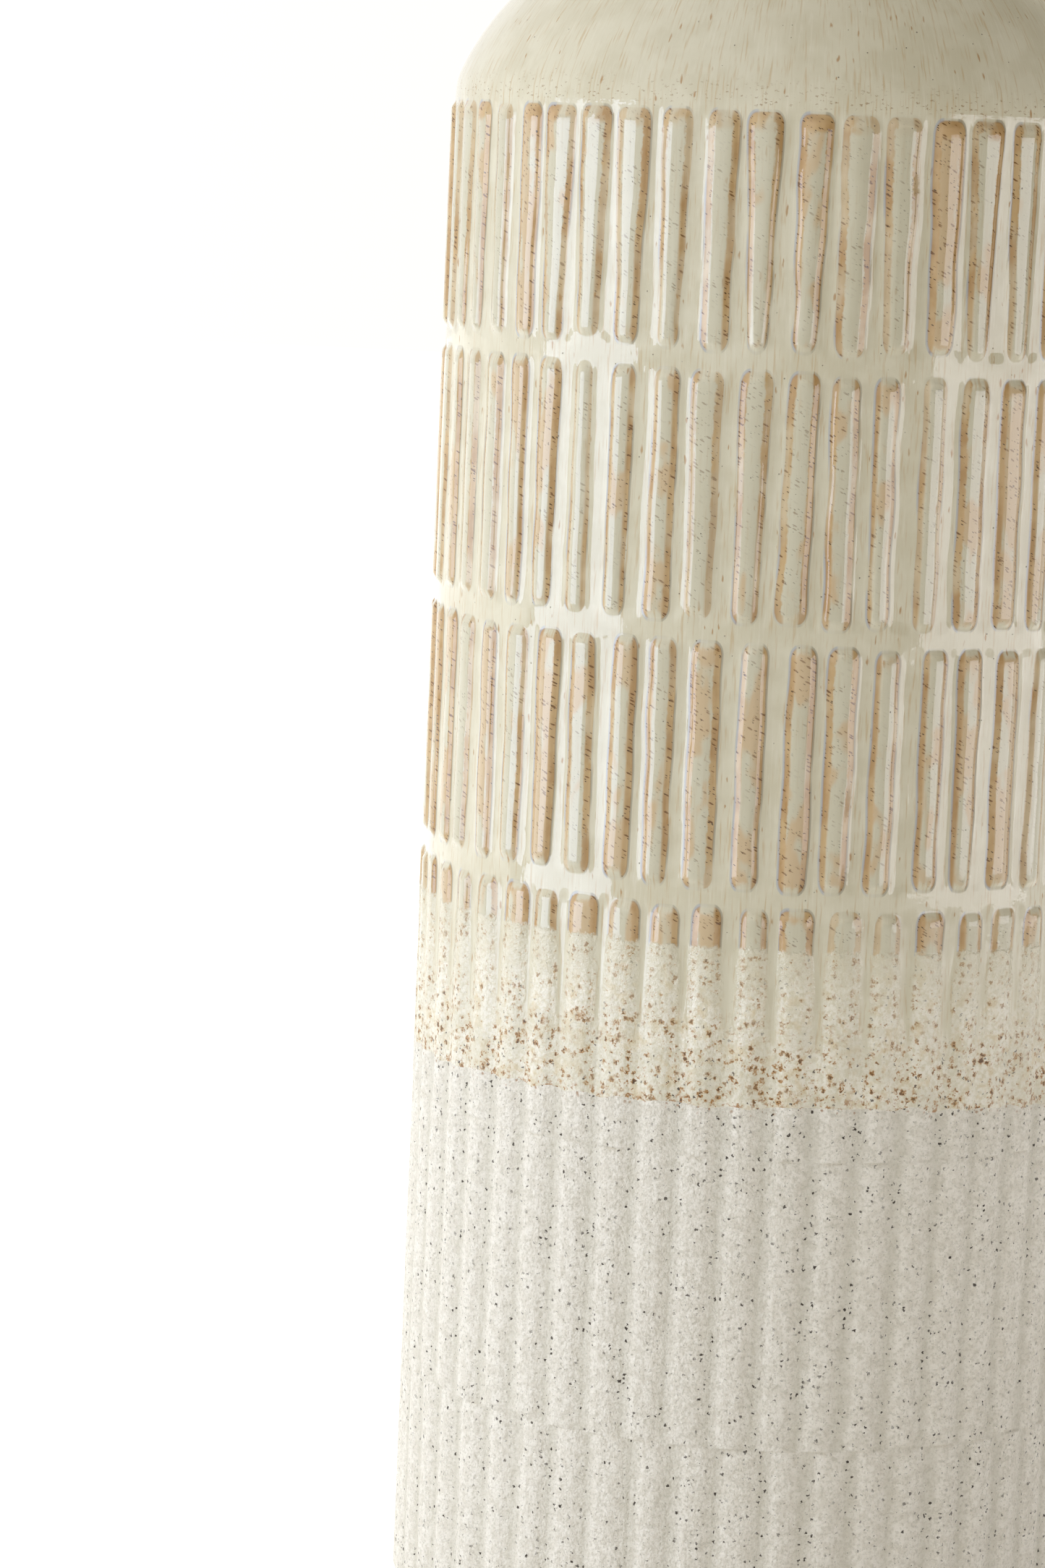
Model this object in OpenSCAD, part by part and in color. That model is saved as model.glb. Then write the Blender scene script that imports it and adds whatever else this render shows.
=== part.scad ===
// Tall stoneware bottle vase: a straight ribbed body, a domed shoulder and a
// narrow flared neck. One fired clay vessel carries three fired-on outer coats
// and a liner. Millimetres, +Z up, origin at the centre of the underside.

/* [Vessel] */
// Radius over the crowns of the ribs
body_r = 76; // [74:0.5:77]
// Height of the neck and lip above the top of the dome
neck_h = 54; // [50:1:90]
// Thickness of the fired clay wall
wall_t = 6.5; // [5:0.5:8]
// Thickness of the floor of the vessel
floor_t = 8; // [6:0.5:12]

/* [Ribs] */
// Height of each tier from the top down, with the plain land below it
tier_heights = [51.5, 55, 54, 54, 61, 49]; // [49:0.5:61]
// Ribs round one tier
rib_count = 51; // [40:1:56]
// Plain land left between two tiers
land_h = 3; // [2:0.5:5]
// Height of a rib over the valleys and lands
rib_rise = 0.9; // [0.6:0.1:1.2]
// Radius of a rib's rounded crown, seen from above
crown_r = 5.4; // [5:0.1:6]
// Turn of each tier's ribs from the X axis, in degrees, from the top down
tier_turns = [3.2, 3.6, 5.3, 0.3, 0.3, 2.2]; // [0:0.1:7]

/* [Base] */
// Height of the plain band below the lowest tier
base_band = 10.5; // [10:0.5:20]
// Outer radius of the unglazed foot ring
foot_r = 70; // [66:1:72]
// Inner radius of the foot ring
foot_inner_r = 60; // [54:1:62]
// Depth of the hollow inside the foot ring
foot_h = 4; // [3:0.5:5]

/* [Shoulder and neck] */
// Radius of the shoulder's arc
shoulder_r = 58; // [56:0.5:58]
// Distance of the shoulder arc's centre from the axis
shoulder_x = 21; // [21:0.5:22]
// Depth of that centre below the top of the ribs
shoulder_drop = 17; // [16:0.5:18]
// Outer radius of the straight neck
neck_r = 24; // [23:0.5:26]
// Radius of the fillet between shoulder and neck
neck_fillet = 14; // [12:0.5:16]
// Radius of the lip's outward curve
flare_r = 18; // [16:0.5:20]
// How far round that curve the lip goes, in degrees
flare_angle = 50; // [40:1:60]

/* [Coats] */
// Thickness of the outer coats in the valleys and on the lands
coat_t = 0.7; // [0.5:0.1:1]
// Thickness of the liner
liner_t = 0.5; // [0.3:0.1:1]
// Lower edge of the full gloss coat, below the top of the ribs
gloss_drop = 168; // [162:1:170]
// Lower edge of the speckled overlap band, below the top of the ribs
overlap_drop = 203; // [190:1:208]

/* [Hidden] */
$fn = 96;
// The thin rings take fine circles, so that 0.7 mm of coat keeps its thickness
ring_fn = 720;

arc_steps = 12;
tiers = len(tier_heights);
rib_top = base_band + height_of(tiers);
land_r = body_r - rib_rise;
clay_r = land_r - coat_t;
gloss_z = rib_top - gloss_drop;
overlap_z = rib_top - overlap_drop;

shoulder_z = rib_top - shoulder_drop;
height = shoulder_z + shoulder_r + neck_h;
fillet_x = neck_r + neck_fillet;
fillet_reach = shoulder_r + neck_fillet;
fillet_z = shoulder_z + sqrt(pow(fillet_reach, 2) - pow(fillet_x - shoulder_x, 2));
fillet_angle = atan2(fillet_z - shoulder_z, fillet_x - shoulder_x);

neck_t = wall_t - 0.5 + coat_t;
lip_r = neck_t / 2;
flare_x = neck_r + flare_r;
flare_z = height - lip_r - (flare_r + lip_r) * sin(flare_angle);

cavity_r = clay_r - wall_t - liner_t;
cavity_floor = foot_h + floor_t + liner_t;
heel_r = 12;

// The outer coats end just above the foot ring, on a chamfer
foot_chamfer = clay_r - foot_r;
coat_foot_z = foot_h + foot_chamfer;

// Height of the first n tiers together
function height_of(n) = n == 0 ? 0 : tier_heights[n - 1] + height_of(n - 1);

// Points along an arc about (cx, cz), from angle a0 to angle a1. An arc that
// carries on from the last one leaves its first point out.
function arc(cx, cz, r, a0, a1, first = 0) =
    [for (i = [first:arc_steps])
        let (a = a0 + (a1 - a0) * i / arc_steps)
        [cx + r * cos(a), cz + r * sin(a)]];

// The same points in the opposite order
function reversed(points) = [for (i = [len(points) - 1:-1:0]) points[i]];

// Angle on the shoulder's arc at which it stands at radius x
function shoulder_start(x, r) = acos((x - shoulder_x) / r);

// Outside of the shoulder and neck, up to the lip, at depth t below the glaze
function upper_outline(t) = concat(
    arc(shoulder_x, shoulder_z, shoulder_r - t,
        shoulder_start(land_r - t, shoulder_r - t), fillet_angle),
    arc(fillet_x, fillet_z, neck_fillet + t, 180 + fillet_angle, 180, 1),
    arc(flare_x, flare_z, flare_r + t, 180, 180 - flare_angle));

// Rounded lip at depth t below the glaze, from the outside to the inside
function lip_outline(t) =
    arc(flare_x - (flare_r + lip_r) * cos(flare_angle),
        flare_z + (flare_r + lip_r) * sin(flare_angle),
        lip_r - t, -flare_angle, 180 - flare_angle, 1);

// Inside of the mouth, neck and shoulder, downwards, at depth t below the liner
function inner_outline(t) = concat(
    arc(flare_x, flare_z, flare_r + neck_t - t, 180 - flare_angle, 180),
    arc(fillet_x, fillet_z, neck_fillet + neck_t - t, 180, 180 + fillet_angle),
    arc(shoulder_x, shoulder_z, shoulder_r - neck_t + t, fillet_angle,
        shoulder_start(cavity_r + t, shoulder_r - neck_t + t), 1));

// Rounded heel of the cavity and its floor, at depth t below the liner
function heel_outline(t) =
    arc(cavity_r - heel_r, cavity_floor + heel_r, heel_r + t, 0, -90);

module stoneware_body() {
    color("#b79f86") rotate_extrude()
        polygon(concat(
            [[0, foot_h], [foot_inner_r - 1, foot_h], [foot_inner_r, 0], [foot_r - 1, 0],
             [foot_r, 1], [foot_r, foot_h], [clay_r, coat_foot_z]],
            upper_outline(coat_t),
            lip_outline(coat_t),
            inner_outline(liner_t),
            heel_outline(liner_t),
            [[0, cavity_floor - liner_t]]));
}

// One tier's outline seen from above: a plain disc with a rounded rib at each step
module rib_ring(tier) {
    difference() {
        union() {
            circle(r = land_r, $fn = ring_fn);
            for (i = [0:rib_count - 1])
                rotate(tier_turns[tier] + i * 360 / rib_count)
                    translate([body_r - crown_r, 0]) circle(r = crown_r);
        }
        circle(r = clay_r, $fn = ring_fn);
    }
}

// Plain ring of coat between two heights
module land_ring(low, high) {
    translate([0, 0, low]) linear_extrude(high - low) difference() {
        circle(r = land_r, $fn = ring_fn);
        circle(r = clay_r, $fn = ring_fn);
    }
}

// Coat on the straight wall between two heights: each tier's ribs and each land
module ribbed_coat(low, high) {
    for (tier = [0:tiers - 1]) {
        top = rib_top - height_of(tier);
        bottom = top - tier_heights[tier];
        rib_low = max(low, bottom + land_h);
        rib_high = min(high, top);
        if (rib_high > rib_low)
            translate([0, 0, rib_low]) linear_extrude(rib_high - rib_low) rib_ring(tier);
        land_low = max(low, bottom);
        land_high = min(high, bottom + land_h);
        if (land_high > land_low) land_ring(land_low, land_high);
    }
}

module gloss_glaze_coat() {
    color("#d9d6bf") {
        ribbed_coat(gloss_z, rib_top);
        rotate_extrude()
            polygon(concat(
                [[clay_r, rib_top], [land_r, rib_top]],
                upper_outline(0),
                lip_outline(0),
                reversed(lip_outline(coat_t)),
                reversed(upper_outline(coat_t))));
    }
}

module overlap_glaze_band() {
    color("#cfc3a8") ribbed_coat(overlap_z, gloss_z);
}

module matte_glaze_coat() {
    color("#e4e0d6") {
        ribbed_coat(base_band, overlap_z);
        rotate_extrude()
            polygon([[clay_r, coat_foot_z], [land_r, coat_foot_z],
                     [land_r, base_band], [clay_r, base_band]]);
    }
}

module liner_glaze() {
    color("#cfd2c2") rotate_extrude()
        polygon(concat(
            inner_outline(0),
            heel_outline(0),
            [[0, cavity_floor], [0, cavity_floor - liner_t]],
            reversed(heel_outline(liner_t)),
            reversed(inner_outline(liner_t))));
}

stoneware_body();
gloss_glaze_coat();
overlap_glaze_band();
matte_glaze_coat();
liner_glaze();
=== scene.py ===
# %% [markdown]
# # A tall ribbed stoneware vase
# The vase is one fired clay vessel with four skins of glaze: a sandy matte coat on the lower
# tiers, a speckled band where two glazes overlap, a glossy cream glaze above, and a liner
# inside. Bare clay shows at the foot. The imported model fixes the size, the tiers and where each
# glaze ends. The ribs could be modelled one by one, or raised with a displacement modifier.
# Here each glaze is one surface worked out over angle and height, because some 300 ribs that
# all differ are then a few lines of arithmetic, and the glazes can follow the same numbers.

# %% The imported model
import math
import bpy
import numpy as np
from mathutils import Matrix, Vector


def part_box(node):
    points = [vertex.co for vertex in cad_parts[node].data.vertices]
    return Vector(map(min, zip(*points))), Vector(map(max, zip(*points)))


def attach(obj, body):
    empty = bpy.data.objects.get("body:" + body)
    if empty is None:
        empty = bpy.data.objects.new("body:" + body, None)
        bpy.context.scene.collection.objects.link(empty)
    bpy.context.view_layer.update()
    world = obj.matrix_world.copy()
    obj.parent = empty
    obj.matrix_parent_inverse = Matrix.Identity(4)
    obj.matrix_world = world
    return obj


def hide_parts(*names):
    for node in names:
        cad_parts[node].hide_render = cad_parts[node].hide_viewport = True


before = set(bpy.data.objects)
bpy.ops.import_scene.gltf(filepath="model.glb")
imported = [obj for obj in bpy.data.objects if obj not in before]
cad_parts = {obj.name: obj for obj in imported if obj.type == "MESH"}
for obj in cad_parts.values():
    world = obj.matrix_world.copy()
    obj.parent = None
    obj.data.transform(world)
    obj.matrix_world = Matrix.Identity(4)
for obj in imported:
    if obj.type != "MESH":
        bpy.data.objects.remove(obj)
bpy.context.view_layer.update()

MM = 0.001

# %% [markdown]
# ## The camera
# A long lens stands about a metre in front, level with the shoulder, and looks slightly down.
# It is turned a little to the left of the axis, which puts the vase right of the middle, and it
# is rolled by a small angle. A camera could be aimed with a constraint. It is built from three
# directions here, because a camera looks along its own -Z: the columns of its matrix are then
# the right, the up and the reversed viewing direction, and nothing is left to guess.

# %% Camera
CAMERA_AT = (0.0, -1.035, 0.329)
YAW, PITCH, ROLL = (math.radians(angle) for angle in (3.01, 7.79, 2.51))

camera_data = bpy.data.cameras.new("long_lens")
camera_data.lens = 109.6
camera_data.sensor_width = 36.0
camera_data.sensor_fit = "AUTO"
camera_data.clip_start = 0.05
camera = bpy.data.objects.new("camera", camera_data)
bpy.context.scene.collection.objects.link(camera)
look = np.array([-math.sin(YAW) * math.cos(PITCH), math.cos(YAW) * math.cos(PITCH), -math.sin(PITCH)])
level_right = np.array([math.cos(YAW), math.sin(YAW), 0.0])
level_up = np.cross(level_right, look)
right = math.cos(ROLL) * level_right + math.sin(ROLL) * level_up
up = math.cos(ROLL) * level_up - math.sin(ROLL) * level_right
turned = np.eye(4)
turned[:3, 0], turned[:3, 1], turned[:3, 2] = right, up, -look
turned[:3, 3] = CAMERA_AT
camera.matrix_world = Matrix(turned.tolist())
bpy.context.scene.camera = camera
print("camera looks along", look.round(3))

# %% [markdown]
# ## Measuring the frame
# A potter marks the tiers on the wall before cutting them. The same marks could be typed in
# again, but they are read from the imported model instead, so that this lesson follows it. The
# coats' boxes say where each glaze begins and ends. The ribs' crowns are the outermost points
# of the coats: their heights give the tiers, and their angles give the number of ribs round a
# tier and how far each tier is turned.


# %% Heights of the glazes
def points_of(node):
    """All vertices of a CAD node as rows of x, y, z, in mm."""
    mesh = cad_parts[node].data
    co = np.empty(len(mesh.vertices) * 3, np.float32)
    mesh.vertices.foreach_get("co", co)
    return co.reshape(-1, 3).astype(float) / MM


coats = ["gloss_glaze_coat", "overlap_glaze_band", "matte_glaze_coat"]
overlap_low, overlap_high = (corner.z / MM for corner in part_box("overlap_glaze_band"))
coat_foot, lip_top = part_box("matte_glaze_coat")[0].z / MM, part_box("gloss_glaze_coat")[1].z / MM
coat_points = np.vstack([points_of(node) for node in coats])
reach = np.hypot(coat_points[:, 0], coat_points[:, 1])
CROWN_R = reach.max()
RIB_RISE = 0.9
LAND_R = CROWN_R - RIB_RISE
print("overlap band", overlap_low, overlap_high, "coat foot", coat_foot, "lip", lip_top)

# %% Tiers, ribs and their turn
CROWN_BAND = 0.03  # a point this close to the outermost radius is on a crown, mm
SEAM = 0.05  # a level this close to the end of a coat is a cut in it, not a tier's end, mm
FAR = 40.0  # how far the first and last tiers' share of the wall goes past them, mm
RIB_GAP = math.radians(2.5)  # a wider gap than this between two crown points parts two ribs

crowns = coat_points[reach > CROWN_R - CROWN_BAND]
levels = np.unique(crowns[:, 2].round(2))
levels = levels[(abs(levels - overlap_low) > SEAM) & (abs(levels - overlap_high) > SEAM)]
tier_low, tier_high = levels[0::2], levels[1::2]
TIERS = len(tier_low)
land_mid = np.concatenate([[tier_low[0] - FAR], (tier_low[1:] + tier_high[:-1]) / 2, [tier_high[-1] + FAR]])
tier_turn, RIBS = [], 0
for low, high in zip(tier_low, tier_high):
    ring = crowns[(crowns[:, 2] > low - 2 * SEAM) & (crowns[:, 2] < high + 2 * SEAM)]
    angle = np.sort(np.arctan2(ring[:, 1], ring[:, 0]))
    RIBS = 1 + int((np.diff(angle) > RIB_GAP).sum())
    tier_turn.append(np.angle(np.exp(1j * RIBS * angle).mean()) / RIBS)
tier_turn = np.array(tier_turn)
STEP = 2 * math.pi * CROWN_R / RIBS
print(TIERS, "tiers of", RIBS, "ribs, step", round(STEP, 2), "mm, turned", np.degrees(tier_turn).round(1))

# %% [markdown]
# ## The relief of the ribs
# The ribs were cut by hand, so no two match: each sits a little off its place, leans, and
# starts and ends at its own height. They could be separate bodies joined to the wall, but thick
# glaze flows over their feet, and a joint would never look like that. So the relief is a
# formula. Seen flat, a rib is a rounded rectangle, and the signed distance to its outline,
# negative inside, drives everything: the surface climbs over the first millimetre or two inside
# the outline, and the glazes later break over that same edge. A table of seeded numbers per
# tier gives each rib its own character.

# %% Each rib's own character
dice = np.random.default_rng(51)
SHAPE = (TIERS, RIBS)
# Half the width of a tier's ribs, and how much wider they get from the middle up, lowest tier first
TIER_HALF = np.array([3.34, 3.34, 3.15, 2.92, 2.85, 3.25])[:, None]
TIER_TAPER = np.array([0.08, 0.08, 0.08, 0.10, 0.12, 0.58])[:, None]
TOP_TIER_CUT = 0.4  # the top tier's ribs start nearly level

rib_off = np.clip(dice.normal(0, 0.36, SHAPE), -0.75, 0.75)
rib_half = TIER_HALF + np.clip(dice.normal(0, 0.22, SHAPE), -0.4, 0.4)
rib_tall = np.clip(dice.normal(0.93, 0.05, SHAPE), 0.82, 1.0)
rib_lean = dice.normal(0, 0.005, SHAPE)
rib_taper = TIER_TAPER + np.clip(dice.normal(0, 0.2, SHAPE), -0.4, 0.4)
rib_roll = np.clip(dice.normal(0, 0.04, SHAPE), -0.09, 0.09)
rib_top_cut = np.abs(dice.normal(0.0, 0.45, SHAPE)).clip(0, 1.6)
rib_low_cut = np.abs(dice.normal(0.0, 0.60, SHAPE)).clip(0, 2.0)
wave_phase = dice.uniform(0, 2 * math.pi, (4,) + SHAPE)
wave_long = dice.uniform(14, 34, (4,) + SHAPE)
rib_top_cut[-1] *= TOP_TIER_CUT
rib_tint = np.random.default_rng(77).uniform(0, 1, SHAPE)
print("ribs vary by up to", abs(rib_off).max().round(2), "mm sideways")


# %% Smooth steps and soft noise
SINES = 6  # sines in one soft wave
MELT_START = 0.5  # the ribs start to lose their edges this far above the end of the full gloss, mm
MELT_OVER = 10.0  # height over which they lose them, mm


def smooth(t):
    """Smoothstep: 3t^2 - 2t^3 with t held between 0 and 1."""
    t = np.clip(t, 0, 1)
    return t * t * (3 - 2 * t)


def swell(theta, z, seed, turns=7, rises=60.0):
    """A slow closed wave over angle and height: the mean of a few sines, each with a whole number
    of waves round the vase, a height of 'rises' mm or more and a seeded phase. It stays within
    -1 and 1."""
    own = np.random.default_rng(seed)
    total = 0.0
    for _ in range(SINES):
        waves, pitch, phase = own.integers(1, turns + 1), own.uniform(0.2, 1.0) / rises, own.uniform(0, 6.28)
        total = total + np.sin(waves * theta + 2 * math.pi * pitch * z + phase)
    return total / SINES


def melt_of(z):
    """How far the coat softens a rib: 0 in the glossy tiers, 1 in the matte coat."""
    return smooth((overlap_high + MELT_START - z) / MELT_OVER)


print("melt at the middle of the overlap band", melt_of((overlap_low + overlap_high) / 2).round(2))

# %% Signed distance to the nearest rib
CORNER = 1.9  # radius of a rib's rounded corners, mm
BLUNT, MELTED = 0.66, 1.2  # how fast a rib's ends turn under gloss, and what the matte coat adds
LONGER, WIDER = 2.5, 0.50  # what the matte coat adds at each end and each side of a rib, mm
CALMED = 0.6  # share of the hand's wander that the matte coat hides
SWAY = (0.07, 0.05)  # two waves that push a rib sideways, mm
PINCH = (0.08, 0.06)  # two waves in its half width, mm


def nearest_rib(theta, z):
    """For each point: its tier and rib, the distance u from the rib's middle line, the signed
    distance d to its outline, its half width, and the distance past its nearer end, in mm. With
    q the distance past the rounded rectangle's inner corner,
    d = |max(q, 0)| + min(max(q), 0) - corner."""
    tier = np.clip(np.searchsorted(land_mid, z) - 1, 0, TIERS - 1)
    place = (theta - tier_turn[tier]) * RIBS / (2 * math.pi)
    rib = np.round(place).astype(int) % RIBS
    own = (tier, rib)
    melt = melt_of(z)
    calm = 1 - CALMED * melt
    low = tier_low[tier] + rib_low_cut[own] - LONGER * melt
    high = tier_high[tier] - rib_top_cut[own] + LONGER * melt
    middle, half_high = (low + high) / 2, (high - low) / 2
    wave = [np.sin(2 * math.pi * z / wave_long[i][own] + wave_phase[i][own]) for i in range(4)]
    sway = calm * (SWAY[0] * wave[0] + SWAY[1] * wave[1])
    shift = rib_off[own] * calm + rib_lean[own] * (z - middle) + sway
    half = rib_half[own] + calm * (PINCH[0] * wave[2] + PINCH[1] * wave[3]) + WIDER * melt
    half = half + rib_taper[own] * calm * (z - middle) / half_high
    u = (place - np.round(place)) * STEP - shift
    past = abs(z - middle) - half_high
    qx = abs(u) - (half - CORNER)
    qz = past * (BLUNT + MELTED * melt) + CORNER
    outside = np.hypot(np.maximum(qx, 0), np.maximum(qz, 0))
    d = outside + np.minimum(np.maximum(qx, qz), 0) - CORNER
    return tier, rib, u, d, half, past


print("a point's distance past the outline", nearest_rib(np.array([0.3]), np.array([200.0]))[3].round(2))

# %% Radius of the glazed wall
FLANK, MELTED_FLANK = 1.25, 1.15  # width of a rib's flank under gloss, and what the matte coat adds, mm
ARCH, MELTED_ARCH = 0.80, 0.42  # how far the crown arches under gloss, and what the matte coat takes, mm
SCOOP, SCOOP_SIDE, SCOOP_END = 0.24, 1.5, 3.5  # depth of the valley's scoop, and its slopes, mm
SOFTER = 0.24  # share of its height that a rib loses under the matte coat
SCOOP_STOP = 0.95  # past this distance beyond a rib's end there is no scoop, mm
HAND = (0.05, 0.02)  # slow and quicker unevenness of the hand, mm
GLAZE_ON = 0.05  # the glaze lies this much proud of the land's packed radius, mm
SKIN_GAP = 0.01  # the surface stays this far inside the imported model, mm


def wall_radius(theta, z):
    """Radius in mm: the land, plus a smoothstep climb over the rib's flank, plus a crown that
    falls off with the square of the distance from its middle, less a scoop in the valleys, plus
    the slow unevenness of a hand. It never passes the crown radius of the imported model."""
    tier, rib, u, d, half, past = nearest_rib(theta, z)
    melt = melt_of(z)
    climb = smooth(-d / (FLANK + MELTED_FLANK * melt))
    arch = ARCH - MELTED_ARCH * melt
    crown = (arch * (1 - (u / half) ** 2) + rib_roll[tier, rib] * (1 - melt) * u) * climb
    off_rib = np.clip((abs(u) - half) / SCOOP_SIDE, 0, 1)
    scoop = SCOOP * (1 - (1 - off_rib) ** 2) * smooth((SCOOP_STOP - past) / SCOOP_END)
    rise = RIB_RISE * rib_tall[tier, rib] * (1 - SOFTER * melt)
    hand = HAND[0] * swell(theta, z, 3) + HAND[1] * swell(theta, z, 4, 24, 12.0)
    radius = LAND_R + GLAZE_ON + (rise - arch) * climb + crown - scoop + hand
    return np.minimum(radius, CROWN_R - SKIN_GAP)


print("wall radius at one point", wall_radius(np.array([0.3]), np.array([200.0])).round(2))

# %% [markdown]
# ## From arrays to meshes
# Each glaze becomes a grid of points: rows up the vase, columns round it. The last column joins
# the first, so there is no seam. bmesh could add the points one by one, but Blender also takes
# them and the corners of each square as whole arrays, which is far quicker. Besides its shape,
# each skin carries what its glaze needs to know at every point: the distance to the rib's
# outline, the distance from its middle, a number of its own for each rib, the height over the
# wavy glaze edge, and a place on the unrolled wall for the runs.


# %% Grid to mesh
def grid_faces(z, close_start, close_end):
    """The squares of a grid closed round the axis, and a fan of triangles with its pole on the
    axis at each closed end. Corners run so that faces point outwards."""
    rows, cols = z.shape
    index = np.arange(rows * cols).reshape(rows, cols)
    onward = np.roll(index, -1, 1)
    faces = np.stack([index[:-1], onward[:-1], onward[1:], index[1:]], -1).reshape(-1, 4).tolist()
    poles = []
    ends = ((close_start, 0, onward, index), (close_end, rows - 1, index, onward))
    for wanted, row, ring, following in ends:
        if wanted:
            pole = np.full(cols, rows * cols + len(poles))
            poles.append([0.0, 0.0, z[row].mean()])
            faces += np.stack([ring[row], following[row], pole], -1).tolist()
    return faces, poles


skins = {}


def skin(name, x, y, z, facts, slot, stands_for, close_start=False, close_end=False):
    """Make one piece from a grid in mm (rows by columns, columns closed round the axis), with a
    value per point for each fact, and note it in 'skins'."""
    faces, poles = grid_faces(z, close_start, close_end)
    points = np.stack([x, y, z], -1).reshape(-1, 3)
    points = np.vstack([points] + [np.array([pole]) for pole in poles]) * MM
    mesh = bpy.data.meshes.new(name)
    mesh.from_pydata(points, [], faces)
    mesh.polygons.foreach_set("use_smooth", np.ones(len(mesh.polygons), bool))
    for fact, value in facts.items():
        is_place = value.ndim == 3
        flat = value.reshape(-1, 3) if is_place else value.reshape(-1)
        flat = np.concatenate([flat] + [flat[:1]] * len(poles)).astype(np.float32)
        layer = mesh.attributes.new(fact, "FLOAT_VECTOR" if is_place else "FLOAT", "POINT")
        layer.data.foreach_set("vector" if is_place else "value", flat.ravel())
    piece = bpy.data.objects.new(name, mesh)
    bpy.context.scene.collection.objects.link(piece)
    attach(piece, "root")
    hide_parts(stands_for)
    skins[name] = piece
    print(name, len(mesh.vertices), "points", sum(len(face) - 2 for face in faces), "triangles")


print("squares between two rings of three points:", len(grid_faces(np.zeros((2, 3)), False, False)[0]))

# %% [markdown]
# ## The wavy glaze edge
# The gloss was poured over the matte coat and ran down unevenly, so its lower edge wanders by
# a few millimetres. One mesh could carry both glazes, with the edge only painted on it, but
# they are separate materials, so each gets its own skin. Both share one curve for the edge,
# height over angle, and their rows slide to meet it, so that no gap opens. Rows stand closer
# together near the ends of the ribs, where the surface turns.

# %% The edge, and rows of a tier
EDGE_MID = overlap_low + 0.3
EDGE_WAVE, EDGE_SCALLOP = 3.2, 0.9  # how far the edge wanders slowly and quickly, mm
COLUMNS = 24 * RIBS
around = np.arange(COLUMNS) * 2 * math.pi / COLUMNS


def glaze_edge(theta):
    """Height of the glaze edge in mm: its mean level plus slow waves and small scallops."""
    level = 0 * theta
    return EDGE_MID + EDGE_WAVE * swell(theta, level, 12, 6) + EDGE_SCALLOP * swell(theta, level, 21, 60)


def rows_between(low, high, step=1.0, fine=0.3, reach_mm=2.2):
    """Heights from low to high: 'fine' apart within reach_mm of a rib's end, 'step' elsewhere."""
    ends = np.concatenate([tier_low, tier_high])
    z, found = low, [low]
    while z < high - fine * 0.6:
        near = abs(ends - z).min() < reach_mm
        z = min(z + (fine if near else step), high)
        found.append(z)
    found[-1] = high
    return np.array(found)


print("edge wanders from", glaze_edge(around).min().round(1), "to", glaze_edge(around).max().round(1))

# %% A ribbed skin between two heights
HEM_ROWS = 5  # rows that turn in under the coat's lower edge
HEM_DROP = 0.45  # how far the hem rounds under, mm
HEM_IN = 0.72  # how far it reaches in, which is the coat's thickness and a little more, mm
PLAIN = 6.0  # a distance from a rib at which no effect of the ribs is left, mm


def with_hem(theta, z, radius):
    """The same grid with a hem below: a quarter round that goes in by HEM_IN and under by
    HEM_DROP, on an edge that wanders by a quarter of a millimetre."""
    tuck = np.linspace(1, 0, HEM_ROWS + 1)[:-1, None]
    edge = z[:1] + 0.25 * swell(theta[:1], 0 * theta[:1], 31, 40)
    z = np.vstack([edge - HEM_DROP * (1 - np.sqrt(1 - tuck ** 2)), edge, z[1:]])
    radius = np.vstack([radius[:1] - HEM_IN * tuck, radius])
    return np.vstack([theta[:HEM_ROWS], theta]), z, radius


def ribbed_skin(name, low, high, slot, stands_for, low_edge=False, high_edge=False, hem=False):
    """One ribbed skin. Where an end follows the glaze edge, each row is moved by its share of
    the edge's offset."""
    theta, z = np.meshgrid(around, rows_between(low, high))
    share = (z - low) / (high - low)
    if low_edge:
        z = z + (glaze_edge(theta) - low) * (1 - share)
    if high_edge:
        z = z + (glaze_edge(theta) - high) * share
    radius = wall_radius(theta, z)
    tier, rib, u, d = nearest_rib(theta, z)[:4]
    if hem:
        theta, z, radius = with_hem(theta, z, radius)
        u, d = np.vstack([u[:HEM_ROWS] * 0, u]), np.vstack([d[:HEM_ROWS] * 0 + PLAIN, d])
        tier, rib = np.vstack([tier[:HEM_ROWS], tier]), np.vstack([rib[:HEM_ROWS], rib])
    facts = {
        "rib_edge": d,
        "rib_side": u,
        "rib_own": rib_tint[tier, rib],
        "over_edge": z - glaze_edge(theta),
        "run": np.stack([LAND_R * np.cos(theta), LAND_R * np.sin(theta), z], -1),
    }
    skin(name, radius * np.cos(theta), radius * np.sin(theta), z, facts, slot, stands_for)


print("rows in one tier:", len(rows_between(land_mid[3], land_mid[4])))

# %% The upper tiers, glossy
TOP_OF_WALL = tier_high[-1] + 1.0
tops = list(land_mid[1:TIERS]) + [TOP_OF_WALL]
for k in (1, 2, 3):
    ribbed_skin(f"gloss_tier_{k}", land_mid[TIERS - k], tops[TIERS - k], "gloss_glaze", "gloss_glaze_coat")
ribbed_skin("gloss_tier_4", overlap_high, land_mid[TIERS - 3], "gloss_glaze", "gloss_glaze_coat")

# %% The overlap band and the lower tiers, matte
HEM_UP = 0.6  # the matte coat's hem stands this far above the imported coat's foot, mm
ribbed_skin("overlap_band", EDGE_MID, overlap_high, "overlap_glaze", "overlap_glaze_band", low_edge=True)
ribbed_skin("matte_tier_4", land_mid[2], EDGE_MID, "matte_glaze", "matte_glaze_coat", high_edge=True)
ribbed_skin("matte_tier_5", land_mid[1], land_mid[2], "matte_glaze", "matte_glaze_coat")
ribbed_skin("matte_tier_6", coat_foot + HEM_UP, land_mid[1], "matte_glaze", "matte_glaze_coat", hem=True)

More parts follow.
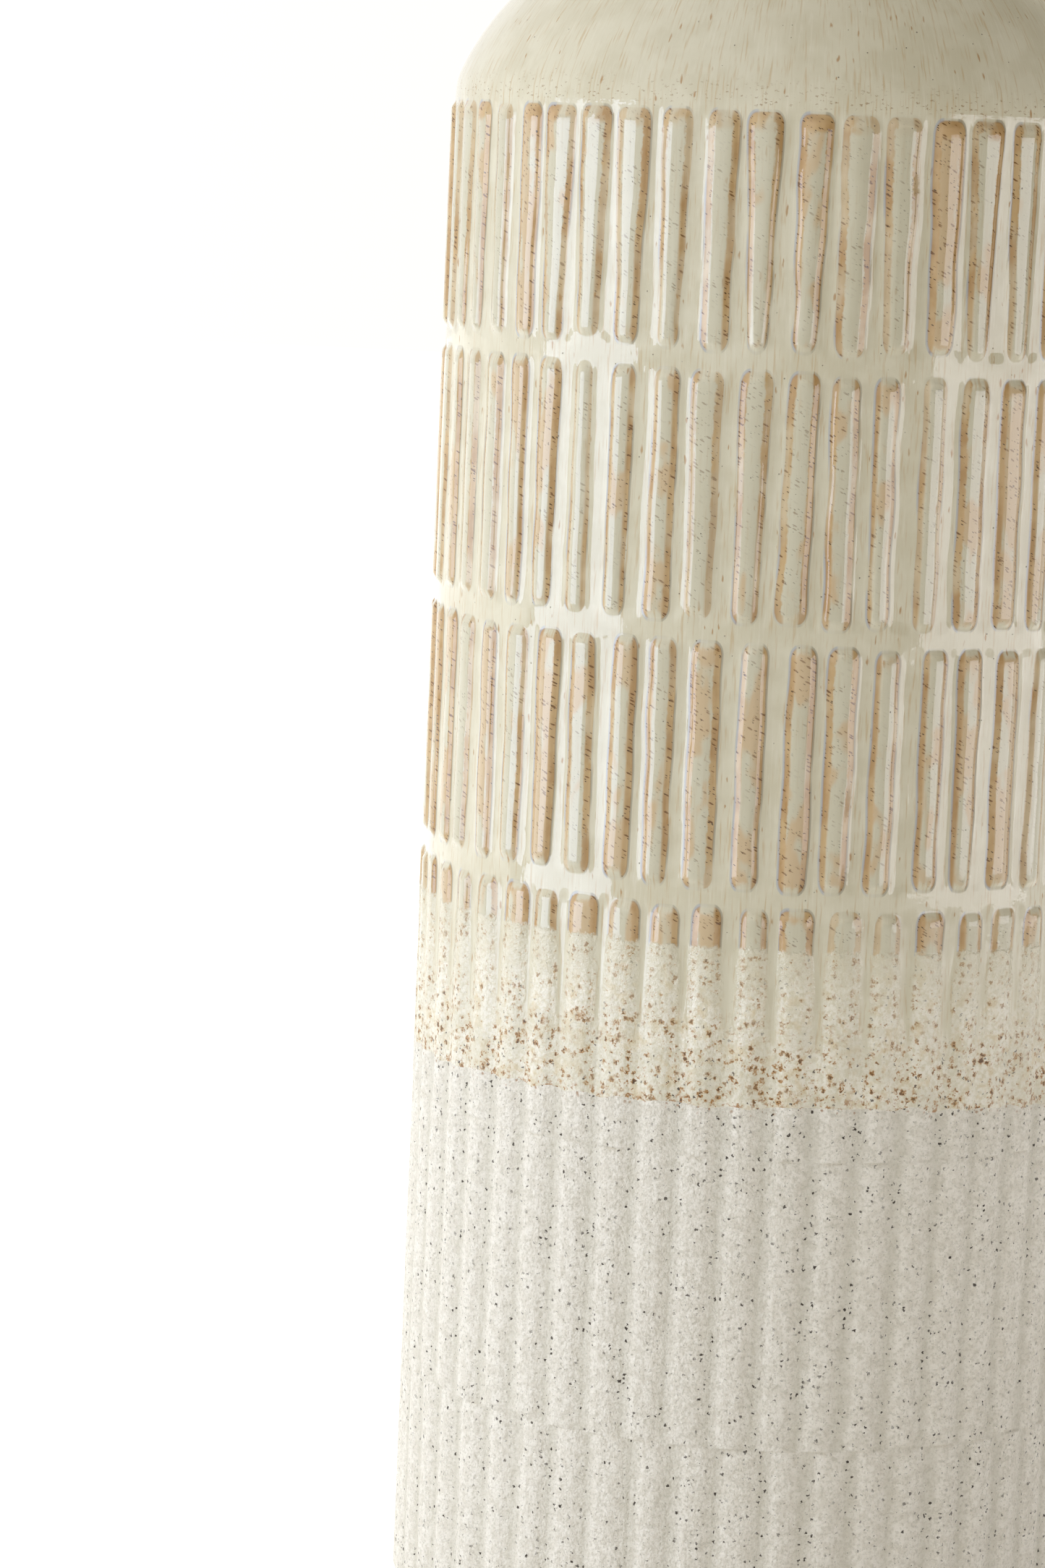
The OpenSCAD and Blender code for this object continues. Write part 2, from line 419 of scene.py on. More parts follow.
# %% [markdown]
# ## Shoulder, neck, lip and inside
# A potter throws these as one turned form. A Screw modifier could turn a drawn outline, but the
# lowest ring has to meet the uneven ribbed wall point by point, so the turning is worked out
# here. The outline is a chain of arcs: the dome, a fillet into the neck, the flare and the
# round lip, then the same way back down inside. It is sampled finely and eased with a short
# running mean, which takes the corner off where the dome meets the wall, as thick glaze does.

# %% Arcs of the turned form
NECK_R, FILLET, FLARE, FLARE_TURN, NECK_T = 24.0, 14.0, 18.0, 50.0, 6.7
DOME_X, DOME_R, DOME_DROP = 21.0, 58.0, 17.0
COAT, LINER, WALL = 0.7, 0.5, 6.5
LIP = NECK_T / 2
HEEL = 12.0
CAVITY_FLOOR = 12.5


def arc(cx, cz, r, start, end, n=40):
    """Points on a circle about (cx, cz) from one angle to another, in degrees."""
    a = np.radians(np.linspace(start, end, n))
    return np.stack([cx + r * np.cos(a), cz + r * np.sin(a)], -1)


rib_top = float(tier_high[-1])
dome_z = rib_top - DOME_DROP
fillet_x = NECK_R + FILLET
fillet_z = dome_z + math.sqrt((DOME_R + FILLET) ** 2 - (fillet_x - DOME_X) ** 2)
meet = math.degrees(math.atan2(fillet_z - dome_z, fillet_x - DOME_X))
flare_x = NECK_R + FLARE
flare_z = lip_top - LIP - (FLARE + LIP) * math.sin(math.radians(FLARE_TURN))
clay_r = LAND_R - COAT
cavity_r = clay_r - WALL - LINER
print("dome meets the neck's fillet at", round(meet, 1), "degrees, cavity radius", round(cavity_r, 2), "mm")


# %% Outlines outside, over the lip and inside
def outside_line(t):
    """Dome, fillet and flare at depth t below the glaze, upwards."""
    start = math.degrees(math.acos((LAND_R - t - DOME_X) / (DOME_R - t)))
    return np.vstack([arc(DOME_X, dome_z, DOME_R - t, start, meet),
                      arc(fillet_x, fillet_z, FILLET + t, 180 + meet, 180),
                      arc(flare_x, flare_z, FLARE + t, 180, 180 - FLARE_TURN)])


def lip_line(t):
    """The round lip at depth t, from its outer side over the top to its inner side."""
    turn = math.radians(FLARE_TURN)
    return arc(flare_x - (FLARE + LIP) * math.cos(turn), flare_z + (FLARE + LIP) * math.sin(turn),
               LIP - t, -FLARE_TURN, 180 - FLARE_TURN)


def inside_line(t):
    """Flare, neck, dome, wall, heel and floor of the cavity at depth t below the liner."""
    low = math.degrees(math.acos((cavity_r + t - DOME_X) / (DOME_R - NECK_T + t)))
    return np.vstack([arc(flare_x, flare_z, FLARE + NECK_T - t, 180 - FLARE_TURN, 180),
                      arc(fillet_x, fillet_z, FILLET + NECK_T - t, 180, 180 + meet),
                      arc(DOME_X, dome_z, DOME_R - NECK_T + t, meet, low),
                      arc(cavity_r - HEEL, CAVITY_FLOOR + HEEL, HEEL + t, 0, -90),
                      [[4.0, CAVITY_FLOOR - t]]])


print("outlines of", len(outside_line(0)), len(lip_line(0)), "and", len(inside_line(0)), "points")

# %% Even spacing, easing and turning
FINE = 0.1  # spacing at which an outline is eased, mm
FADE = 6.0  # a turned skin's unevenness fades out this near its two ends, mm
RING_GAP = 5.0  # height of one throwing ring, mm
RING_LIFT = 0.8  # how far a ring climbs in one radian round the vase, mm
RING_SHARE = 0.35  # depth of the rings as a share of the wobble
JOIN_OVER = 9.0  # how far up the shoulder the uneven top of the wall is still felt, mm
FAR_OVER = 150.0  # stands for a height far over the glaze edge, mm


def travelled(points):
    """Length along a line at each of its points."""
    return np.concatenate([[0], np.hypot(*np.diff(points, axis=0).T).cumsum()])


def spaced(points, gap):
    """The same line with points 'gap' mm apart."""
    along = travelled(points)
    keep = np.concatenate([[True], np.diff(along) > 1e-9])
    at = np.linspace(0, along[-1], max(2, int(along[-1] / gap)))
    return np.stack([np.interp(at, along[keep], points[keep, i]) for i in (0, 1)], -1)


def evenly(line, step, ease):
    """The line with points 'step' mm apart, each the weighted mean of its neighbours within
    'ease' mm: the weight is a bell curve, and the ends stay where they are."""
    fine = spaced(np.asarray(line, float), FINE)
    n = int(ease / FINE)
    bell = np.exp(-0.5 * (np.arange(-2 * n, 2 * n + 1) / n) ** 2)
    before = 2 * fine[:1] - fine[2 * n:0:-1]
    after = 2 * fine[-1:] - fine[-2:-2 * n - 2:-1]
    padded = np.vstack([before, fine, after])
    eased = np.stack([np.convolve(padded[:, i], bell / bell.sum(), "valid") for i in (0, 1)], -1)
    return spaced(eased, step)


def turned_skin(name, line, slot, stands_for, columns=720, wobble=0.0, join=0.0, **closed):
    """Turn a line (radius, height) round the axis. The radius gets a slow hand-made wobble and
    faint throwing rings, both in mm, which fade out at the line's two ends. 'join' is added at
    the first row, a value per column, and fades over JOIN_OVER."""
    theta = np.arange(columns) * 2 * math.pi / columns
    along = travelled(line)
    fade = smooth(np.minimum(along, along[-1] - along) / FADE)[:, None]
    s, t = along[:, None] + 0 * theta, theta + 0 * along[:, None]
    rings = RING_SHARE * np.sin(2 * math.pi * (s + RING_LIFT * t) / RING_GAP + 2 * swell(t, s, 8))
    radius = line[:, :1] + wobble * fade * (swell(t, s, 5) + rings) + join * (1 - smooth(s / JOIN_OVER))
    z = line[:, 1:] + 0 * theta
    facts = {
        "rib_edge": PLAIN + 0 * t,
        "rib_side": 0 * t,
        "rib_own": 0.5 + 0 * t,
        "over_edge": FAR_OVER + 0 * t,
        "run": np.stack([LAND_R * np.cos(t), LAND_R * np.sin(t), s + TOP_OF_WALL], -1),
    }
    skin(name, radius * np.cos(t), radius * np.sin(t), z, facts, slot, stands_for, **closed)


print("the outside line is", travelled(outside_line(0))[-1].round(1), "mm long")

# %% Shoulder, neck and lip
SHOULDER_COLUMNS = 720
shoulder_line = outside_line(0)
above_wall = shoulder_line[shoulder_line[:, 1] > TOP_OF_WALL + 0.5]
crown_line = np.vstack([[[LAND_R, TOP_OF_WALL]], above_wall, lip_line(0)])
steps = np.arange(SHOULDER_COLUMNS) * 2 * math.pi / SHOULDER_COLUMNS
wall_end = wall_radius(steps, 0 * steps + TOP_OF_WALL) - LAND_R
turned_skin("shoulder_and_neck", evenly(crown_line, 1.1, 2.0), "gloss_glaze", "gloss_glaze_coat",
            columns=SHOULDER_COLUMNS, wobble=0.05, join=wall_end)

# %% [markdown]
# ## Liner
# A potter fills the vase with glaze and pours it out again, so the liner covers the inside of
# the mouth, the neck and the whole cavity. It could be the shoulder's surface turned inside
# out, but it has a thickness and a material of its own, so it is turned from its own outline,
# down to the middle of the floor.

# %% Liner
turned_skin("inside_liner", evenly(inside_line(0), 2.2, 0.8), "liner", "liner_glaze",
            columns=360, wobble=0.12, close_end=True)

# %% [markdown]
# ## The clay
# Bare clay shows only at the foot: a turned ring, a soft chamfer up to the hem of the matte
# coat, and the slightly hollow underside. Only that part could be made, but the export keeps
# every mesh, and a wall that is whole is a true one. So one closed outline is turned: the foot,
# up the outside, over the lip and down the inside.

# %% Clay body
FOOT_R, FOOT_IN, FOOT_UP, FOOT_EDGE = 70.0, 60.0, 4.0, 1.0
POLE_R = 3.0  # radius at which the rows end and the fans of the poles begin, mm
foot_line = np.array([[POLE_R, FOOT_UP], [FOOT_IN - FOOT_EDGE, FOOT_UP], [FOOT_IN, 0.25],
                      [FOOT_IN + 0.6, 0.0], [FOOT_R - FOOT_EDGE, 0.0], [FOOT_R, FOOT_EDGE],
                      [FOOT_R, FOOT_UP], [clay_r, coat_foot]])
clay_line = np.vstack([foot_line, outside_line(COAT), lip_line(COAT), inside_line(LINER)[1:-1],
                       [[POLE_R, CAVITY_FLOOR - LINER]]])
turned_skin("clay_body", evenly(clay_line, 2.0, 0.25), "fired_clay", "stoneware_body",
            columns=180, close_start=True, close_end=True)

# %% [markdown]
# ## Colours and nodes
# Colours are written as hex values, the way a glaze chart would give them, and one function
# turns them to the linear values that Blender mixes. Nodes could be laid out by hand in the
# shader editor. In code, one function adds any node with its settings and its links and hands
# back the output wanted, and a few dicts hold the settings that come up again and again.


# %% Hex to linear
def hue(code):
    """sRGB hex to linear: c / 12.92 below 0.04045, else ((c + 0.055) / 1.055) ** 2.4."""
    c = np.array([int(code[i:i + 2], 16) for i in (1, 3, 5)]) / 255
    linear = np.where(c <= 0.04045, c / 12.92, ((c + 0.055) / 1.055) ** 2.4)
    return tuple(float(v) for v in linear) + (1.0,)


print("cream glaze, linear:", [round(v, 3) for v in hue("#D9D3BB")])

# %% Adding nodes
SOFT = dict(interpolation_type="SMOOTHSTEP")
TIMES, PLUS, MINUS = (dict(operation=name) for name in ("MULTIPLY", "ADD", "SUBTRACT"))
MOST, SIZE, SCALE_AND_SHIFT = (dict(operation=name) for name in ("MAXIMUM", "ABSOLUTE", "MULTIPLY_ADD"))
LAID = dict(data_type="RGBA", out=2)  # a Mix of colours: socket 0 is the share, 6 is under, 7 is over


class Mixture:
    """The node tree of a material or a world while it is being mixed."""

    def __init__(self, owner):
        owner.use_nodes = True
        self.owner, self.tree = owner, owner.node_tree
        self.tree.nodes.clear()

    def add(self, kind, values=(), out=0, **settings):
        """Add a node: settings are its own, values go to its sockets, in order or by name."""
        node = self.tree.nodes.new("ShaderNode" + kind)
        for name, value in settings.items():
            setattr(node, name, value)
        for place, value in values.items() if isinstance(values, dict) else enumerate(values):
            if isinstance(value, bpy.types.NodeSocket):
                self.tree.links.new(value, node.inputs[place])
            else:
                node.inputs[place].default_value = value
        return node.outputs[out] if node.outputs else node


print("settings for soft steps:", SOFT)


# %% Starting and firing a glaze
def new_glaze(name):
    """An empty mixture that knows where it is: the point on the surface in mm, its height, its
    place on the unrolled wall, and the distances from the rib's outline and middle line."""
    g = Mixture(bpy.data.materials.new(name))
    metres = g.add("TexCoord", out="Object")
    g.here = g.add("VectorMath", [metres, (1 / MM,) * 3], **TIMES)
    g.height = g.add("SeparateXYZ", [g.here], out="Z")
    g.run = g.add("Attribute", out="Vector", attribute_name="run")
    g.edge, g.side, g.own, g.over = (
        g.add("Attribute", out="Fac", attribute_name=fact)
        for fact in ("rib_edge", "rib_side", "rib_own", "over_edge"))
    return g


def fire(g, colour, roughness, relief_mm, ior):
    """The finished surface: colour, roughness and fine relief in mm, into one shader."""
    bump = g.add("Bump", {"Strength": 1.0, "Distance": MM, "Height": relief_mm})
    shader = g.add("BsdfPrincipled", {"Base Color": colour, "Roughness": roughness, "Normal": bump,
                                      "IOR": ior})
    g.add("OutputMaterial", {"Surface": shader})
    print("fired", g.owner.name, "with", len(g.tree.nodes), "nodes")
    return g.owner


# %% [markdown]
# ## Patterns in a glaze
# Three things make almost every mark in a glaze: clouds and grains, specks, and one colour
# showing where another is thin. An image could show them, but it would stretch over the ribs
# and blur close up. So they are worked out in space, at their real sizes in millimetres.


# %% Grains, specks and stains
def scaled(g, at, size_mm, stretch, shift):
    """The place 'at' measured in grains of size_mm, 'stretch' times as high, moved by a shift."""
    wide = 1 / size_mm
    return g.add("VectorMath", [at or g.here, (wide, wide, wide / stretch), (shift,) * 3], **SCALE_AND_SHIFT)


def grain(g, size_mm, detail=2.0, rough=0.5, stretch=1.0, at=None, shift=0.0):
    """Noise whose grains measure size_mm across and 'stretch' times that in height."""
    place = scaled(g, at, size_mm, stretch, shift)
    return g.add("TexNoise", {"Vector": place, "Scale": 1.0, "Detail": detail, "Roughness": rough})


def specks(g, step_mm, size_mm, soft=0.4, flat=1.0, at=None, shift=0.0, keep=1.0, torn=0.0):
    """Specks: one per cell of step_mm, up to size_mm wide, each cell with its own size. A speck
    is 'flat' times as wide as it is high, 'keep' is the share of cells that hold one, and
    'torn' bends their outlines, in cells."""
    place = scaled(g, at, step_mm, 1 / flat, shift)
    if torn:
        bend = g.add("TexNoise", {"Vector": place, "Scale": 2.3, "Detail": 1.0}, out="Color")
        place = g.add("VectorMath", [bend, (torn,) * 3, place], **SCALE_AND_SHIFT)
    cells = g.add("TexVoronoi", {"Vector": place, "Scale": 1.0}, out="Distance").node
    luck = g.add("SeparateColor", [cells.outputs["Color"]])
    grown = g.add("MapRange", [luck, 1 - keep, 1.0], **SOFT)
    outer = g.add("Math", [grown, size_mm / step_mm / 2], **TIMES)
    inner = g.add("Math", [outer, 1 - soft], **TIMES)
    outer = g.add("Math", [outer, 0.001], **PLUS)
    return g.add("MapRange", [cells.outputs["Distance"], inner, outer, 1.0, 0.0], **SOFT)


def stain(g, colour, code, *masks):
    """Let the colour 'code' show over another where all the masks agree: its share is their
    product."""
    share = masks[0]
    for mask in masks[1:]:
        share = g.add("Math", [share, mask], **TIMES)
    return g.add("Mix", {0: share, 6: colour, 7: hue(code)}, **LAID)


def wandering(g, size_mm, by, **noise):
    """Noise about zero that moves an edge by up to half of 'by', in mm."""
    return g.add("Math", [g.add("Math", [grain(g, size_mm, **noise), 0.5], **MINUS), by], **TIMES)


# %% [markdown]
# ## Glossy cream glaze
# This is a reactive stoneware glaze: a cream, slightly green glass over iron-bearing clay. It
# lies thick in the valleys and runs thin over the ribs' flanks, where the clay colours it tan.
# Iron bleeds into short dark dashes there, and a thin blue-grey line marks where thick and
# thin glaze meet; on each rib's right-hand side that line is painted a dark brown-grey, as
# painted shade from the light at the left. Real layers of glass could be rendered, but slowly
# and with little to show for it. The colour is laid in bands of the distance to a rib's outline
# instead, which is how the thickness of the glaze changes.


# %% Thick glaze, in the valleys and on the dome
def thick_cream(g, cloud):
    """Cream clouds with tan and pale runs half a millimetre wide, and short brown flecks."""
    runs = grain(g, 0.55, 2.0, 0.6, 14.0, at=g.run)
    fleck = specks(g, 1.5, 0.75, 0.6, 0.3, at=g.run, shift=6.6, keep=0.6, torn=0.4)
    clouded = g.add("MapRange", [cloud, 0.35, 0.65], **SOFT)
    colour = g.add("Mix", {0: clouded, 6: hue("#D2CAAF"), 7: hue("#DAD3BA")}, **LAID)
    colour = stain(g, colour, "#C2A474", g.add("MapRange", [runs, 0.54, 0.72, 0.0, 0.50], **SOFT))
    colour = stain(g, colour, "#AE8450", fleck, 0.8)
    return stain(g, colour, "#E6DFCC", g.add("MapRange", [runs, 0.42, 0.28, 0.0, 0.30], **SOFT))


# %% Where the glaze runs thin
def thin_places(g, breaks):
    """Masks over a rib: the pale top, the tan strip along its flanks, tops gone tan altogether,
    and the line at its outline. 'breaks' fades the last three."""
    wander = wandering(g, 1.5, 1.3, detail=3.0, rough=0.6, shift=3.1)
    near = g.add("Math", [g.edge, wander], **PLUS)
    aside = g.add("Math", [g.side], **SIZE)
    at_side = g.add("MapRange", [aside, 1.2, 1.9], **SOFT)
    # each rib has its own share of tan, and it comes in patches along the rib
    own_share = g.add("Math", [g.add("Math", [g.own, 0.5], **MINUS), 0.30], **TIMES)
    patch = g.add("Math", [grain(g, 7.0, 2.0, 0.6, 2.2, shift=7.7), own_share], **PLUS)
    # the top tier's ribs are also thin at their upper ends
    up = g.add("Math", [g.height, wander], **PLUS)
    at_top = g.add("MapRange", [up, rib_top - 4.6, rib_top - 3.0], **SOFT)
    at_top = g.add("Math", [at_top, g.add("MapRange", [patch, 0.40, 0.56, 0.2, 1.0], **SOFT)], **TIMES)
    inner = g.add("Math", [g.add("MapRange", [near, -1.8, -1.3], **SOFT), at_side], **TIMES)
    inner = g.add("Math", [inner, at_top], **MOST)
    outer = g.add("Math", [g.add("MapRange", [g.edge, 0.02, -0.22], **SOFT), breaks], **TIMES)
    strip = g.add("Math", [inner, outer], **TIMES)
    strip = g.add("Math", [strip, g.add("MapRange", [patch, 0.34, 0.50, 0.6, 1.0], **SOFT)], **TIMES)
    bare = g.add("MapRange", [near, -0.5, -1.4], **SOFT)
    bare = g.add("Math", [bare, g.add("MapRange", [patch, 0.53, 0.62, 0.0, 0.70], **SOFT)], **TIMES)
    bare = g.add("Math", [bare, breaks], **TIMES)
    line = g.add("MapRange", [g.edge, 0.34, 0.12], **SOFT)
    for mask in (g.add("MapRange", [g.edge, -0.38, -0.12], **SOFT),
                 g.add("MapRange", [patch, 0.36, 0.56, 0.05, 0.62], **SOFT), breaks,
                 g.add("MapRange", [at_side, 0.0, 1.0, 0.15, 0.80], **SOFT)):
        line = g.add("Math", [line, mask], **TIMES)
    pale_top = g.add("MapRange", [near, -0.9, -1.7, 0.0, 0.65], **SOFT)
    return pale_top, strip, bare, line


# %% Cream glaze over the ribs, used by two materials
def cream_glaze(g, breaks=1.0):
    """Colour of the cream glaze, with the masks of the tan strips and of the tan tops."""
    cloud = grain(g, 9.0, 3.0, 0.55)
    pale_top, strip, bare, line = thin_places(g, breaks)
    colour = stain(g, thick_cream(g, cloud), "#C9C3AA", pale_top)
    clouded = g.add("MapRange", [cloud, 0.40, 0.62], **SOFT)
    tan = g.add("Mix", {0: clouded, 6: hue("#B2884F"), 7: hue("#C6A470")}, **LAID)
    colour = g.add("Mix", {0: g.add("Math", [strip, 0.88], **TIMES), 6: colour, 7: tan}, **LAID)
    colour = stain(g, colour, "#CCAC80", bare)
    # the outline keeps the glaze's blue-grey on each rib's left side; on its right side it is painted dark
    # brown-grey, as painted shade from the light at the left
    left = g.add("MapRange", [g.side, 0.4, -0.4], **SOFT)
    outline_blue_and_painted_shade = g.add("Mix", {0: left, 6: hue("#6E6453"), 7: hue("#98A3B8")}, **LAID)
    colour = g.add("Mix", {0: line, 6: colour, 7: outline_blue_and_painted_shade}, **LAID)
    return colour, strip, bare, cloud


# %% Iron dashes
def iron_dashes(g, colour, where):
    """Dark brown dashes, about a millimetre wide and a third as high, slightly slanted. They are
    counted from each rib's middle line, and the rib's own number makes no two ribs alike."""
    slanted = g.add("Math", [g.height, g.add("Math", [g.side, 0.5], **TIMES)], **PLUS)
    spot = g.add("CombineXYZ", [g.side, g.add("Math", [g.own, 400.0], **TIMES), slanted])
    dash = specks(g, 1.3, 1.45, 0.4, 2.6, at=spot, keep=0.38, torn=0.3)
    small = specks(g, 0.8, 0.62, 0.4, 2.0, at=spot, shift=5.3, keep=0.5, torn=0.4)
    colour = stain(g, colour, "#6A431D", dash, where, 0.85)
    return stain(g, colour, "#38281B", small, where, 0.92)


# %% Glossy cream glaze material
# Poured glaze that melted to glass: nearly mirror smooth, with soft ripples where it ran, so
# the eye sees sharp white stripes on it.
g = new_glaze("cream_reactive_stoneware_glaze_poured")
colour, strip, bare, cloud = cream_glaze(g)
on_crown = g.add("MapRange", [g.edge, -0.4, -1.0], **SOFT)
in_patches = g.add("MapRange", [grain(g, 5.0, shift=15.0), 0.45, 0.6, 0.1, 0.5], **SOFT)
crown = g.add("Math", [on_crown, in_patches], **TIMES)
dashed = g.add("Math", [g.add("Math", [strip, bare], **MOST), crown], **MOST)
colour = iron_dashes(g, colour, dashed)
# small brown arcs gather just above the top tier
over_rim = g.add("MapRange", [g.height, rib_top + 0.2, rib_top + 1.2], **SOFT)
under_dome = g.add("MapRange", [g.height, rib_top + 7.5, rib_top + 2.5], **SOFT)
top_rim = g.add("Math", [over_rim, under_dome], **TIMES)
arcs = specks(g, 1.0, 0.95, 0.6, 1.8, shift=2.2, keep=0.75, torn=1.2)
colour = stain(g, colour, "#8C6636", arcs, top_rim, 0.6)
pin = specks(g, 1.9, 0.42, 0.5, shift=1.7, keep=0.6)
colour = stain(g, colour, "#4A3B2B", pin, 0.75)
print("colour of the cream glaze takes", len(g.tree.nodes), "nodes")

# %% Its surface
ripple = g.add("Math", [grain(g, 1.6, 2.0, 0.5, 7.0, at=g.run, shift=4.4), 0.030], **TIMES)
orange_peel = g.add("Math", [grain(g, 0.9, 1.0, shift=9.0), 0.006], **TIMES)
waves = g.add("Math", [ripple, orange_peel], **PLUS)
relief = g.add("Math", [waves, g.add("Math", [pin, 0.05], **TIMES)], **MINUS)
gloss = g.add("MapRange", [grain(g, 14.0, shift=6.0), 0.3, 0.7, 0.02, 0.05], **SOFT)
# its IOR is a little above plain glass, 1.52, as it is in a glaze with iron and titanium
gloss_material = fire(g, colour, gloss, relief, 1.60)

# %% [markdown]
# ## Overlap glaze
# Where the cream glaze runs out over the matte coat the two react. The tops of the ribs turn
# rough and grainy first, and the valleys stay creamy further down. Iron comes out as rust and
# dark specks that gather toward the lower edge, where the run stops in a broken rust line. Two
# finished materials could be mixed by height, but a straight change from one to the other
# looks airbrushed. Here torn noise decides, on the ribs and in the valleys apart.

# %% Where the overlap turns rough
# An overlap of two stoneware glazes: satin at first, then dry and grainy.
g = new_glaze("overlap_stoneware_glaze_speckled")
ragged = wandering(g, 1.5, 4.0, detail=3.0, rough=0.6, shift=2.0)
fall = g.add("Math", [g.height, ragged], **PLUS)
top_start = g.add("MapRange", [fall, overlap_high - 0.6, overlap_high - 2.0], **SOFT)
cream, strip, bare, cloud = cream_glaze(g, g.add("MapRange", [top_start, 0.0, 1.0, 1.0, 0.0], **SOFT))
long_run = wandering(g, 2.4, 22.0, detail=2.0, rough=0.6, stretch=4.0, at=g.run, shift=5.0)
valley_fall = g.add("Math", [g.height, long_run], **PLUS)
valley_start = g.add("MapRange", [valley_fall, overlap_high - 13.0, overlap_high - 25.0], **SOFT)
ragged_edge = g.add("Math", [g.edge, g.add("Math", [ragged, 0.3], **TIMES)], **PLUS)
on_rib = g.add("MapRange", [ragged_edge, 0.4, -0.9], **SOFT)
rough_share = g.add("Math", [g.add("Math", [top_start, on_rib], **TIMES), valley_start], **MOST)
print("the overlap starts at", round(overlap_high, 1), "mm and ends near", round(EDGE_MID, 1), "mm")

# %% Body of the overlap
mottled = g.add("MapRange", [grain(g, 0.8, 2.0, 0.6, shift=11.0), 0.36, 0.60], **SOFT)
stained = g.add("MapRange", [grain(g, 3.4, 3.0, 0.65, shift=4.0), 0.48, 0.68, 0.0, 0.5], **SOFT)
body = g.add("Mix", {0: mottled, 6: hue("#DFD7BE"), 7: hue("#EFE9D8")}, **LAID)
body = stain(g, body, "#D3BC8B", stained)
body = stain(g, body, "#CFC8AF", g.add("MapRange", [cloud, 0.42, 0.62, 0.0, 0.4], **SOFT))
body = stain(g, body, "#D8D0B6", g.add("MapRange", [g.over, 18.0, 34.0, 0.0, 0.75], **SOFT))
colour = g.add("Mix", {0: rough_share, 6: cream, 7: body}, **LAID)

# %% Rust in the overlap
low_down = g.add("MapRange", [g.over, 30.0, 1.0, 0.45, 1.0], **SOFT)
crowd = g.add("MapRange", [grain(g, 4.5, 2.0, 0.6, shift=13.0), 0.40, 0.60, 0.25, 1.0], **SOFT)
off_flank = g.add("Math", [g.add("Math", [g.edge, 0.8], **PLUS)], **SIZE)
at_flank = g.add("MapRange", [off_flank, 1.6, 0.4, 0.0, 0.8], **SOFT)
rust_zone = g.add("Math", [low_down, rough_share], **TIMES)
rust_zone = g.add("Math", [rust_zone, g.add("Math", [crowd, at_flank], **MOST)], **TIMES)
# a rust speck from its pale halo to its dark heart: width in mm, softness, colour and share
for width, soft, code, share in ((2.10, 0.9, "#C29038", 0.85), (1.60, 0.5, "#A0690F", 0.9),
                                 (0.95, 0.5, "#3F2810", 0.9)):
    speck = specks(g, 1.25, width, soft, shift=3.3, keep=0.9, torn=1.3)
    colour = stain(g, colour, code, speck, rust_zone, share)
torn_edge = g.add("Math", [g.over, g.add("Math", [ragged, 0.6], **TIMES)], **PLUS)
hem_line = g.add("MapRange", [torn_edge, 2.6, 0.9], **SOFT)
broken = g.add("MapRange", [grain(g, 1.5, 3.0, 0.65, shift=8.0), 0.54, 0.66], **SOFT)
colour = stain(g, colour, "#A26C22", hem_line, broken, 0.85)
dark = specks(g, 1.1, 0.70, 0.4, shift=8.8, keep=0.5, torn=1.0)
mostly_rough = g.add("MapRange", [rough_share, 0.0, 1.0, 0.15, 1.0], **SOFT)
colour = stain(g, colour, "#3B2816", dark, mostly_rough, low_down, 0.95)

# %% Its surface
coarse = g.add("Math", [grain(g, 0.8, 3.0, 0.6, shift=5.0), 0.30], **TIMES)
relief = g.add("Math", [coarse, rough_share], **TIMES)
dry = g.add("MapRange", [g.over, 34.0, 6.0, 0.16, 0.42], **SOFT)
gloss = g.add("MapRange", [rough_share, 0.0, 1.0, 0.08, dry], **SOFT)
overlap_material = fire(g, colour, gloss, relief, 1.60)

# %% [markdown]
# ## Sandy matte coat
# The lower tiers carry a dry, off-white slip glaze full of fine sand. It has no shine: the
# light only picks out its grain. Iron in the clay comes through as dark specks half a
# millimetre to a millimetre wide, a little closer together in the valleys. The sand could be
# real bumps in the mesh, but at under a millimetre that takes millions of faces, so the relief
# of the grain is in the material.

# %% Sandy matte material
# A slip full of sand, dipped and fired dry: even, soft light with a fine grain to it. The
# grains are drawn 0.8 mm wide, coarser than real sand, so that they show.
g = new_glaze("sandy_matte_stoneware_slip")
mottled = g.add("MapRange", [grain(g, 2.2, 3.0, 0.65, shift=5.0), 0.36, 0.62], **SOFT)
fine = g.add("MapRange", [grain(g, 0.7, 2.0, 0.7, shift=2.0), 0.52, 0.36, 0.0, 0.50], **SOFT)
colour = g.add("Mix", {0: mottled, 6: hue("#EAE3D4"), 7: hue("#F7F1E4")}, **LAID)
colour = stain(g, colour, "#C8C2B0", fine)
# painted shade: the valleys between the ribs are made a little darker and greyer
colour = stain(g, colour, "#CDC7B4", g.add("MapRange", [g.edge, -1.6, 0.6, 0.0, 0.38], **SOFT))
crowd = g.add("MapRange", [grain(g, 5.0, 2.0, 0.6, shift=13.0), 0.36, 0.62, 0.35, 1.0], **SOFT)
crowd = g.add("Math", [crowd, g.add("MapRange", [g.edge, -1.0, 0.3], **SOFT)], **MOST)
faint = specks(g, 0.95, 0.55, 0.8, shift=9.9, keep=0.6, torn=0.3)
dark = specks(g, 1.12, 0.80, 0.35, shift=1.1, keep=0.7, torn=0.9)
rust = specks(g, 1.1, 0.9, 0.6, shift=6.1, torn=0.4)
colour = stain(g, colour, "#98917C", faint, 0.42)
colour = stain(g, colour, "#372B1D", dark, crowd, 0.97)
colour = stain(g, colour, "#A0692C", g.add("MapRange", [g.over, -2.6, -0.1], **SOFT), rust, 0.7)
sand = g.add("Math", [grain(g, 0.8, 3.0, 0.65, shift=3.0), 0.62], **TIMES)
lumps = g.add("Math", [grain(g, 2.2, 2.0, 0.5, shift=7.0), 0.16], **TIMES)
matte_material = fire(g, colour, 0.74, g.add("Math", [sand, lumps], **PLUS), 1.45)

